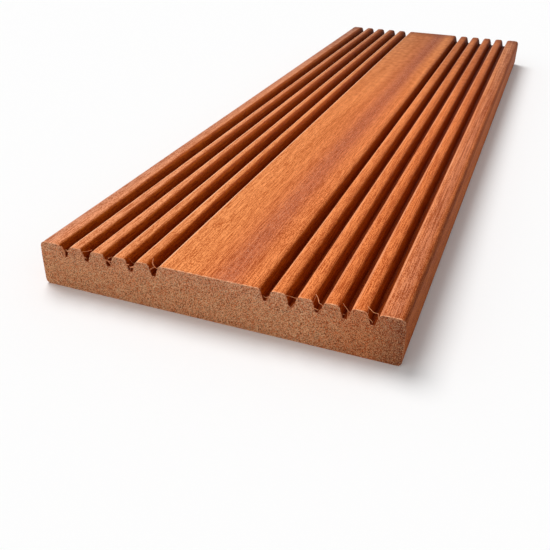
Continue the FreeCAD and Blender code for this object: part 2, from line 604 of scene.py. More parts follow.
@dataclass(frozen=True)
class SawnEndGrain:
    """The same hardwood, sawn across the grain.

    The saw opens the vessels end-on and leaves a matt, rough and dusty face. They show as
    pale and dark specks a quarter of a millimetre apart, with the widest as pale dots at
    nearly twice that, all drawn a little coarser than they are. The heart side is redder,
    and loose fibres make the rim paler, with a painted highlight where they catch the light.
    """

    roughness: float = 0.85
    ior: float = 1.5
    specular: float = 0.05
    relief_mm: float = 0.04

    # The ground, its growth rings around the pith, and its specks.
    ground: str = "#D97A49"
    pale: str = "#FFD3A2"
    dark: str = "#6E3822"
    ground_tone: float = 0.40
    clouds_per_mm: float = 0.12
    cloud_tone: float = 0.15
    pith_mm: Pair = (112.0, -20.0)
    ring_mm: float = 3.4
    ring_tone: float = 0.03
    speck_mm: float = 0.24
    speck_scatter: float = 0.8
    speck_reach: Pair = (0.62, 0.30)
    speck_lean: float = 0.43
    speck_contrast: float = 7.0

    # The widest vessels.
    dot: str = "#FFBE84"
    dot_mm: float = 0.42
    dot_reach: Pair = (0.42, 0.24)
    dot_share: float = 0.45
    dot_strength: float = 0.8

    # Greyer above, redder on the heart side and darker at its corner, with a pale rim of loose fibres and a
    # painted highlight.
    upper_reach_mm: Pair = (9.0, 18.0)
    upper_tint: Triple = (1.0, 1.0, 1.10)
    heart_reach_mm: Pair = (36.0, 56.0)
    heart_tint: Triple = (0.84, 0.67, 0.57)
    corner_reach_mm: Pair = (60.0, 71.0)
    corner_tint: Triple = (0.60, 0.62, 0.72)
    rim: str = "#F0B48E"
    rim_reach: Pair = (0.45, 1.0)
    rim_strength: float = 0.5

    def build(self) -> bpy.types.Material:
        """Builds the material."""
        material, tree = new_material("sawn_end_grain")
        place = in_millimetres(tree)
        parts = add(tree, "ShaderNodeSeparateXYZ", {"Vector": place}).outputs
        tone = self._tone(tree, place)
        ramp = add(tree, "ShaderNodeValToRGB", {"Fac": tone})
        ramp.color_ramp.elements.new(0.5)
        for stop, shade in zip(ramp.color_ramp.elements, (self.dark, self.ground, self.pale)):
            stop.color = linear(shade)

        colour = tinted(tree, ramp, parts["Z"], self.upper_reach_mm, self.upper_tint)
        colour = tinted(tree, colour, parts["X"], self.heart_reach_mm, self.heart_tint)
        colour = tinted(tree, colour, parts["X"], self.corner_reach_mm, self.corner_tint)
        colour = add(tree, "ShaderNodeMix", {
            "Factor": self._dots(tree, place), "A": colour, "B": linear(self.dot),
        }, data_type="RGBA")
        # The rim: pale loose fibres with a painted highlight.
        rim = add(tree, "ShaderNodeAttribute", attribute_name="rim").outputs["Fac"]
        colour = add(tree, "ShaderNodeMix", {
            "Factor": fade(tree, rim, self.rim_reach, (0.0, self.rim_strength)),
            "A": colour,
            "B": linear(self.rim),
        }, data_type="RGBA")

        rough = add(tree, "ShaderNodeMath", {0: tone, 1: self.relief_mm}, operation="MULTIPLY")
        shader = add(tree, "ShaderNodeBsdfPrincipled", {
            "Base Color": colour,
            "Roughness": self.roughness,
            "IOR": self.ior,
            "Specular IOR Level": self.specular,
            "Normal": add(tree, "ShaderNodeBump", {"Strength": 1.0, "Distance": MM, "Height": rough}),
        })
        add(tree, "ShaderNodeOutputMaterial", {"Surface": shader})
        return material

    def _tone(self, tree: NodeTree, place: Feed) -> Feed:
        """Returns the tone of the specks, the growth rings and the clouds between them."""
        clouds = add(tree, "ShaderNodeTexNoise", {
            "Vector": place, "Scale": self.clouds_per_mm, "Detail": 2.0,
        })
        pith = add(tree, "ShaderNodeVectorMath", {
            0: place, 1: (self.pith_mm[0], 0.0, self.pith_mm[1]),
        }, operation="SUBTRACT")
        flat = add(tree, "ShaderNodeVectorMath", {0: pith, 1: (1.0, 0.0, 1.0)}, operation="MULTIPLY")
        radius = add(tree, "ShaderNodeVectorMath", {0: flat}, operation="LENGTH")
        turns = add(tree, "ShaderNodeMath", {
            0: radius, 1: 2 * math.pi / self.ring_mm, 2: clouds,
        }, operation="MULTIPLY_ADD")
        ring = add(tree, "ShaderNodeMath", {0: turns}, operation="SINE")
        cell = add(tree, "ShaderNodeTexVoronoi", {
            "Vector": place, "Scale": 1 / self.speck_mm, "Randomness": self.speck_scatter,
        })
        pore = fade(tree, cell.outputs["Distance"], self.speck_reach)
        pick = add(tree, "ShaderNodeSeparateColor", {"Color": cell.outputs["Color"]}).outputs["Red"]
        shade = add(tree, "ShaderNodeMath", {0: pick, 1: self.speck_lean}, operation="SUBTRACT")
        speck = add(tree, "ShaderNodeMath", {0: shade, 1: pore}, operation="MULTIPLY")
        return weigh(tree, [
            (speck, self.speck_contrast), (ring, self.ring_tone), (clouds, self.cloud_tone),
        ], self.ground_tone)

    def _dots(self, tree: NodeTree, place: Feed) -> Node:
        """Returns a mask of the widest vessels, each a dot, in a share of their cells."""
        cell = add(tree, "ShaderNodeTexVoronoi", {"Vector": place, "Scale": 1 / self.dot_mm})
        near = fade(tree, cell.outputs["Distance"], self.dot_reach)
        pick = add(tree, "ShaderNodeSeparateColor", {"Color": cell.outputs["Color"]}).outputs["Red"]
        chosen = fade(tree, pick, (1.0 - self.dot_share, 1.0 - self.dot_share / 2), (0.0, self.dot_strength))
        return add(tree, "ShaderNodeMath", {0: near, 1: chosen}, operation="MULTIPLY")


@dataclass(frozen=True)
class TornFibre:
    """Loose fibre that the saw tore and left hanging: pale, dry and matt.

    Some strands are pale, and others darker, partly as brown fibre and partly as painted shade where they
    stand for the shadows in a groove's mouth.
    They are thin enough for light to come through from behind.
    """

    pale: str = "#E4976A"
    # Dark: partly brown fibre, partly painted shade in the mouths of the grooves.
    dark: str = "#7A3A22"
    blotch_mm: float = 0.7
    blotch_share: float = 0.5
    roughness: float = 0.8
    ior: float = 1.5
    specular: float = 0.1
    glow: float = 0.4
    glow_mm: float = 0.4
    glow_reach: Triple = (1.0, 0.55, 0.3)

    def build(self) -> bpy.types.Material:
        """Builds the material."""
        material, tree = new_material("torn_fibre")
        place = add(tree, "ShaderNodeTexCoord").outputs["Object"]
        blotch = add(tree, "ShaderNodeTexNoise", {
            "Vector": place, "Scale": 1 / (self.blotch_mm * MM), "Detail": 1.0,
        })
        clean = add(tree, "ShaderNodeAttribute", attribute_name="clean").outputs["Fac"]
        mixed = weigh(tree, [(blotch, self.blotch_share)], -self.blotch_share / 2)
        share = add(tree, "ShaderNodeMath", {0: clean, 1: mixed}, operation="ADD", use_clamp=True)
        colour = add(tree, "ShaderNodeMix", {
            "Factor": share, "A": linear(self.dark), "B": linear(self.pale),
        }, data_type="RGBA")
        shader = add(tree, "ShaderNodeBsdfPrincipled", {
            "Base Color": colour,
            "Roughness": self.roughness,
            "IOR": self.ior,
            "Specular IOR Level": self.specular,
            "Subsurface Weight": self.glow,
            "Subsurface Radius": self.glow_reach,
            "Subsurface Scale": self.glow_mm * MM,
        })
        add(tree, "ShaderNodeOutputMaterial", {"Surface": shader})
        return material


@dataclass(frozen=True)
class StudioFloor:
    """White seamless paper under the board: plain, matt and without a visible edge."""

    seen: float = 0.985
    bounced: float = 0.70

    def build(self) -> bpy.types.Material:
        """Builds the material."""
        material, tree = new_material("white_studio_paper")
        shown, bounce = (
            add(tree, "ShaderNodeBsdfDiffuse", {"Color": (grey, grey, grey, 1.0)})
            for grey in (self.seen, self.bounced)
        )
        mix = add(tree, "ShaderNodeMixShader", {0: sees_white(tree), 1: bounce, 2: shown})
        add(tree, "ShaderNodeOutputMaterial", {"Surface": mix})
        return material


class OutlinePoint(NamedTuple):
    """A point of the section's outline, in millimetres, with its wear and its painted shade and highlight.

    Wear is 1 on the rounded corners of the top, where saw and handling reach first.
    Shade depth is the painted shade in a groove, 0 on the top and 1 on the floor, and it starts
    deeper on the lit wall. Lit shoulder is 1 on the shoulder that carries pale lifted fibres and
    a painted highlight, the one on the right of each groove.
    """

    x: float
    z: float
    wear: float = 0.0
    shade_depth: float = 0.0
    lit_shoulder: float = 0.0


class Corner(NamedTuple):
    """A corner of the section before it is rounded, in millimetres."""

    x: float
    z: float
    radius: float
    lit_shoulder: bool = False


@dataclass
class BoardSection:
    """The board's section, at the sizes that the model is built to, in millimetres.

    The shaded shoulder, how far the painted shade in a groove reaches over the shoulder of its
    dark wall, is a share of the shoulder's radius, and the fill clearance, how far the inner
    points keep from the outline, is a share of their spacing.
    """

    width: float
    thickness: float
    top_edge_radius: float = 2.5
    bottom_edge_radius: float = 2.0
    band_width: float = 40.2
    groove_pitch: float = 9.7
    grooves_per_side: int = 5
    groove_mouth: float = 4.5
    groove_floor: float = 1.6
    groove_depth: float = 5.0
    shoulder_radius: float = 1.5
    floor_radius: float = 0.4
    # Painted shade starts this deep on a groove's lit wall, under a painted highlight that rises over the
    # first steps of its shoulder.
    lit_wall_shade_start: float = 1.0
    highlight_steps: int = 2
    rim_depth: float = 1.2
    # Where painted shade starts on a groove's dark wall: past its lip, on the left run and the right, and
    # over its shoulder.
    shade_lip: Pair = (0.75, 0.35)
    shaded_shoulder: float = 0.8
    arc_steps: int = 6
    fill_spacing: float = 0.8
    fill_clearance: float = 0.45
    fill_weld: float = 1e-7
    top_spacing: float = 1.4
    under_spacing: float = 5.0

    def groove_centres(self) -> list[float]:
        """Returns the X of every groove's centre line, from left to right."""
        first = (self.band_width + self.groove_mouth) / 2
        right = [first + number * self.groove_pitch for number in range(self.grooves_per_side)]
        return sorted([-x for x in right] + right)

    def outline(self) -> list[OutlinePoint]:
        """Returns the outline, anticlockwise from the bottom left."""
        side = self.width / 2
        corners = [
            Corner(-side, 0.0, self.bottom_edge_radius),
            Corner(side, 0.0, self.bottom_edge_radius),
            Corner(side, self.thickness, self.top_edge_radius),
        ]
        floor_height = self.thickness - self.groove_depth
        for centre in reversed(self.groove_centres()):
            corners += [
                Corner(centre + self.groove_mouth / 2, self.thickness, self.shoulder_radius, True),
                Corner(centre + self.groove_floor / 2, floor_height, self.floor_radius),
                Corner(centre - self.groove_floor / 2, floor_height, self.floor_radius),
                Corner(centre - self.groove_mouth / 2, self.thickness, self.shoulder_radius),
            ]
        corners.append(Corner(-side, self.thickness, self.top_edge_radius))
        points = []
        for number, corner in enumerate(corners):
            arc = self._arc(corners[number - 1], corner, corners[(number + 1) % len(corners)])
            if points:
                points += self._side(points[-1], arc[0])
            points += arc
        points += self._side(points[-1], points[0])
        return points

    def _arc(self, before: Corner, corner: Corner, after: Corner) -> list[OutlinePoint]:
        """Returns the points of one rounded corner."""
        at = Vector(corner[:2])
        to_before = (Vector(before[:2]) - at).normalized()
        to_after = (Vector(after[:2]) - at).normalized()
        half = to_before.angle(to_after) / 2
        radius = corner.radius
        centre = at + (to_before + to_after).normalized() * (radius / math.sin(half))
        start = at + to_before * (radius / math.tan(half)) - centre
        turn = start.angle_signed(at + to_after * (radius / math.tan(half)) - centre)
        wear = 1.0 if corner.z == self.thickness else 0.0
        points = []
        for step in range(self.arc_steps + 1):
            angle = -turn * step / self.arc_steps
            x = centre.x + start.x * math.cos(angle) - start.y * math.sin(angle)
            z = centre.y + start.x * math.sin(angle) + start.y * math.cos(angle)
            lit_shoulder = min(1.0, step / self.highlight_steps) if corner.lit_shoulder and step < self.arc_steps else 0.0
            points.append(OutlinePoint(x, z, wear, self._shade_depth(x, z), lit_shoulder))
        return points

    def _side(self, start: OutlinePoint, end: OutlinePoint) -> list[OutlinePoint]:
        """Returns the points between two arcs, closer together on the top than below."""
        length = math.hypot(end.x - start.x, end.z - start.z)
        spacing = self.top_spacing if min(start.z, end.z) > self.thickness / 2 else self.under_spacing
        steps = max(1, round(length / spacing))
        points = []
        for step in range(1, steps):
            x = start.x + (end.x - start.x) * step / steps
            z = start.z + (end.z - start.z) * step / steps
            points.append(OutlinePoint(x, z, shade_depth=self._shade_depth(x, z)))
        return points

    def _shade_depth(self, x: float, z: float) -> float:
        """Returns the painted shade in a groove, from 0 at the top to 1 at the floor, later on the lit wall.
        """
        centre = min(self.groove_centres(), key=lambda middle: abs(x - middle))
        if abs(x - centre) > self.groove_pitch / 2 or z < self.thickness / 2:
            return 0.0
        depth = self.thickness - z
        if x > centre:
            return max(0.0, (depth - self.lit_wall_shade_start) / self.groove_depth)
        rounding = self.groove_mouth / 2 + self.shaded_shoulder * self.shoulder_radius
        lip = self.shade_lip[0] if centre < 0 else self.shade_lip[1]
        return (depth + lip) / self.groove_depth if x > centre - rounding else 0.0

    def face(self) -> bpy.types.Object:
        """Builds the section as a flat face of triangles, facing -Y at Y = 0."""
        outline = self.outline()
        ring = np.array([(point.x, point.z) for point in outline])
        columns = np.arange(-self.width / 2, self.width / 2, self.fill_spacing)
        rows = np.arange(0.0, self.thickness, self.fill_spacing)
        stagger = self.fill_spacing / 2
        grid = np.array([(x + number % 2 * stagger, z) for number, z in enumerate(rows) for x in columns])
        inner = grid[self._inside(grid, ring, self.fill_spacing * self.fill_clearance)]
        points = [Vector(point) for point in np.vstack([ring, inner])]
        loop = [list(range(len(ring)))]
        places, _, triangles, sources, _, _ = delaunay_2d_cdt(points, [], loop, 1, self.fill_weld)
        mesh = bpy.data.meshes.new("section_face")
        mesh.from_pydata([(place.x * MM, 0.0, place.y * MM) for place in places], [], triangles)
        blank = OutlinePoint(0.0, 0.0)
        marked = [outline[source[0]] if source[0] < len(outline) else blank for source in sources]
        marks = {
            "wear": [point.wear for point in marked],
            "shade_depth": [point.shade_depth for point in marked],
            "lit_shoulder": [point.lit_shoulder for point in marked],
            "rim": [float(point.z > self.thickness - self.rim_depth) for point in marked],
        }
        for name, values in marks.items():
            mesh.attributes.new(name, "FLOAT", "POINT").data.foreach_set("value", values)
        return bpy.data.objects.new("section_face", mesh)

    def _inside(self, grid: np.ndarray, ring: np.ndarray, clearance: float) -> np.ndarray:
        """Returns which grid points lie inside the outline and clear of it."""
        after = np.roll(ring, -1, axis=0)
        span = after - ring
        inside = np.zeros(len(grid), dtype=bool)
        nearest = np.full(len(grid), np.inf)
        for start, run, end in zip(ring, span, after):
            along = np.clip(((grid - start) @ run) / (run @ run), 0, 1)
            nearest = np.minimum(nearest, np.linalg.norm(grid - (start + along[:, None] * run), axis=1))
            crosses = (start[1] > grid[:, 1]) != (end[1] > grid[:, 1])
            with np.errstate(divide="ignore", invalid="ignore"):
                at = start[0] + (grid[:, 1] - start[1]) * run[0] / run[1]
            inside ^= crosses & (grid[:, 0] < at)
        return inside & (nearest > clearance)


class ToolMark(NamedTuple):
    """Marks that a tool leaves, and the noise from which they start and at which they are deepest."""

    width_mm: float
    length_mm: float
    start: float
    deepest: float


@dataclass
class BoardStock:
    """The timber itself: the section swept along the board, with what tools left on it.

    The sawn ends stay back by the saw room, which the loose fibres on them need.
    """

    section: BoardSection
    length: float
    rings: int = 195
    end_crowding: float = 0.85
    planing_depth: float = 0.07
    wear_depth: float = 0.06
    tear_depth: float = 0.26
    tear_reach: float = 3.0
    saw_room: float = 0.3
    merge_distance: float = 0.002
    crisp_angle_deg: float = 42.0
    seed: int = 7
    planer_waves: ToolMark = ToolMark(14.0, 80.0, 0.2, 0.8)
    chips: ToolMark = ToolMark(2.5, 9.0, 0.56, 0.74)
    tears: ToolMark = ToolMark(0.9, 1.1, 0.38, 0.72)

    def build(self, long_grain: bpy.types.Material, end_grain: bpy.types.Material) -> bpy.types.Object:
        """Builds the board as one closed mesh.

        Args:
            long_grain: The finish of the planed and milled faces.
            end_grain: The finish of the two sawn ends.

        Returns:
            The finished piece.
        """
        face = self.section.face()
        values = {
            "Section": face,
            "Length": (self.length - 2 * self.saw_room) * MM,
            "Rings": self.rings,
            "End Crowding": self.end_crowding,
            "Planing Depth": self.planing_depth * MM,
            "Wear Depth": self.wear_depth * MM,
            "Tear Depth": self.tear_depth * MM,
            "Tear Reach": self.tear_reach * MM,
            "Seed": float(self.seed),
            "Long Grain": long_grain,
            "End Grain": end_grain,
        }
        piece = run_tree(self._tree(values), "planed_board", values)
        bpy.data.objects.remove(face)
        return piece

    def _tree(self, values: dict) -> NodeTree:
        """Builds the node tree that sweeps the section and cuts its ends, with its named inputs."""
        tree = new_tree("board_sweep", values)
        sizes = add(tree, "NodeGroupInput").outputs
        face = add(tree, "GeometryNodeObjectInfo", {"Object": sizes["Section"]}).outputs["Geometry"]
        half = add(tree, "ShaderNodeMath", {0: sizes["Length"], 1: 0.5}, operation="MULTIPLY")
        front = add(tree, "ShaderNodeMath", {0: half, 1: -1.0}, operation="MULTIPLY")

        # The path: rings along Y, crowded towards the two ends.
        line = add(tree, "GeometryNodeCurvePrimitiveLine", {"Start": (0, 0, 0), "End": (0, 1, 0)})
        even = add(tree, "GeometryNodeResampleCurve", {"Curve": line, "Count": sizes["Rings"]})
        share = add(tree, "GeometryNodeSplineParameter")
        angle = add(tree, "ShaderNodeMath", {0: share, 1: 2 * math.pi}, operation="MULTIPLY")
        wave = add(tree, "ShaderNodeMath", {0: angle}, operation="SINE")
        pull = add(tree, "ShaderNodeMath", {
            0: sizes["End Crowding"], 1: -1 / (2 * math.pi),
        }, operation="MULTIPLY")
        crowded = add(tree, "ShaderNodeMath", {0: wave, 1: pull, 2: share}, operation="MULTIPLY_ADD")
        along = add(tree, "ShaderNodeMath", {
            0: crowded, 1: sizes["Length"], 2: front,
        }, operation="MULTIPLY_ADD")
        station = add(tree, "ShaderNodeCombineXYZ", {"Y": along})
        path = add(tree, "GeometryNodeSetPosition", {"Geometry": even, "Position": station})

        # The swept faces.
        faces_at_edge = add(tree, "GeometryNodeInputMeshEdgeNeighbors")
        is_outline = add(tree, "FunctionNodeCompare", {
            2: faces_at_edge, 3: 1,
        }, data_type="INT", operation="EQUAL")
        ring = add(tree, "GeometryNodeMeshToCurve", {"Mesh": face, "Selection": is_outline})
        turned = add(tree, "GeometryNodeTransform", {
            "Geometry": ring, "Rotation": Euler((math.pi / 2, 0, 0)),
        })
        swept = add(tree, "GeometryNodeCurveToMesh", {
            "Curve": path, "Profile Curve": turned, "Fill Caps": False,
        })
        sides = add(tree, "GeometryNodeSetMaterial", {
            "Geometry": swept, "Material": sizes["Long Grain"],
        })

        # The sawn ends.
        to_front = add(tree, "ShaderNodeCombineXYZ", {"Y": front})
        to_back = add(tree, "ShaderNodeCombineXYZ", {"Y": half})
        front_end = add(tree, "GeometryNodeTransform", {"Geometry": face, "Translation": to_front})
        back_end = add(tree, "GeometryNodeTransform", {"Geometry": face, "Translation": to_back})
        turned_end = add(tree, "GeometryNodeFlipFaces", {"Mesh": back_end})
        ends = add(tree, "GeometryNodeJoinGeometry")
        for part in (front_end, turned_end):
            tree.links.new(part.outputs[0], ends.inputs[0])
        sawn = add(tree, "GeometryNodeSetMaterial", {"Geometry": ends, "Material": sizes["End Grain"]})
        whole = add(tree, "GeometryNodeJoinGeometry")
        for part in (sides, sawn):
            tree.links.new(part.outputs[0], whole.inputs[0])
        closed = add(tree, "GeometryNodeMergeByDistance", {
            "Geometry": whole, "Distance": self.merge_distance * MM,
        })

        # What the tools left: planer waves, worn corners and torn groove mouths, all cut inwards.
        position = add(tree, "GeometryNodeInputPosition")
        seed = sizes["Seed"]
        seeded = add(tree, "ShaderNodeCombineXYZ", {"X": seed, "Y": seed, "Z": seed})
        fields = []
        for mark in (self.planer_waves, self.chips, self.tears):
            across = 1 / (mark.width_mm * MM)
            spread = (across, 1 / (mark.length_mm * MM), across)
            scaled = add(tree, "ShaderNodeVectorMath", {
                0: position, 1: spread, 2: seeded,
            }, operation="MULTIPLY_ADD")
            noise = add(tree, "ShaderNodeTexNoise", {"Vector": scaled, "Scale": 1.0, "Detail": 2.0})
            fields.append(fade(tree, noise, (mark.start, mark.deepest)))
        worn = add(tree, "GeometryNodeInputNamedAttribute", {"Name": "wear"}, data_type="FLOAT")
        side_y = add(tree, "ShaderNodeSeparateXYZ", {"Vector": position}).outputs["Y"]
        from_middle = add(tree, "ShaderNodeMath", {0: side_y}, operation="ABSOLUTE")
        from_end = add(tree, "ShaderNodeMath", {0: half, 1: from_middle}, operation="SUBTRACT")
        near_end = fade(tree, from_end, (sizes["Tear Reach"], 0.0))
        planed = add(tree, "ShaderNodeMath", {0: fields[0], 1: sizes["Planing Depth"]}, operation="MULTIPLY")
        chipped = add(tree, "ShaderNodeMath", {0: fields[1], 1: sizes["Wear Depth"]}, operation="MULTIPLY")
        chips = add(tree, "ShaderNodeMath", {0: chipped, 1: worn, 2: planed}, operation="MULTIPLY_ADD")
        torn = add(tree, "ShaderNodeMath", {0: fields[2], 1: sizes["Tear Depth"]}, operation="MULTIPLY")
        torn_there = add(tree, "ShaderNodeMath", {0: torn, 1: near_end}, operation="MULTIPLY")
        depth = add(tree, "ShaderNodeMath", {0: torn_there, 1: worn, 2: chips}, operation="MULTIPLY_ADD")
        inwards = add(tree, "ShaderNodeMath", {0: depth, 1: -1.0}, operation="MULTIPLY")
        normal = add(tree, "GeometryNodeInputNormal")
        offset = add(tree, "ShaderNodeVectorMath", {0: normal, "Scale": inwards}, operation="SCALE")
        cut = add(tree, "GeometryNodeSetPosition", {"Geometry": closed, "Offset": offset})

        # Rounded faces shade as curves, and the saw's edge stays crisp.
        smooth = add(tree, "GeometryNodeSetShadeSmooth", {"Geometry": cut}, domain="FACE")
        bend = add(tree, "GeometryNodeInputMeshEdgeAngle")
        crisp = add(tree, "FunctionNodeCompare", {
            0: bend, 1: math.radians(self.crisp_angle_deg),
        }, operation="GREATER_THAN")
        edged = add(tree, "GeometryNodeSetShadeSmooth", {
            "Geometry": smooth, "Selection": crisp, "Shade Smooth": False,
        }, domain="EDGE")
        real = add(tree, "GeometryNodeRealizeInstances", {"Geometry": edged})
        add(tree, "NodeGroupOutput", {0: real})
        return tree


class FibrePoint(NamedTuple):
    """A point of a torn fibre, in millimetres from the middle of its groove and from the sawn end.

    Across is to the right of the groove's middle, up is from the groove's floor, back is
    from the end into the groove, and spread is the strand's half width there.
    """

    across: float
    up: float
    back: float
    spread: float


class TornStrand(NamedTuple):
    """A strand that the saw left in a groove's mouth, and how pale it is, from 0 to 1, the darker ones partly
    painted shade.
    """

    groove: int
    clean: float
    points: tuple[FibrePoint, ...]


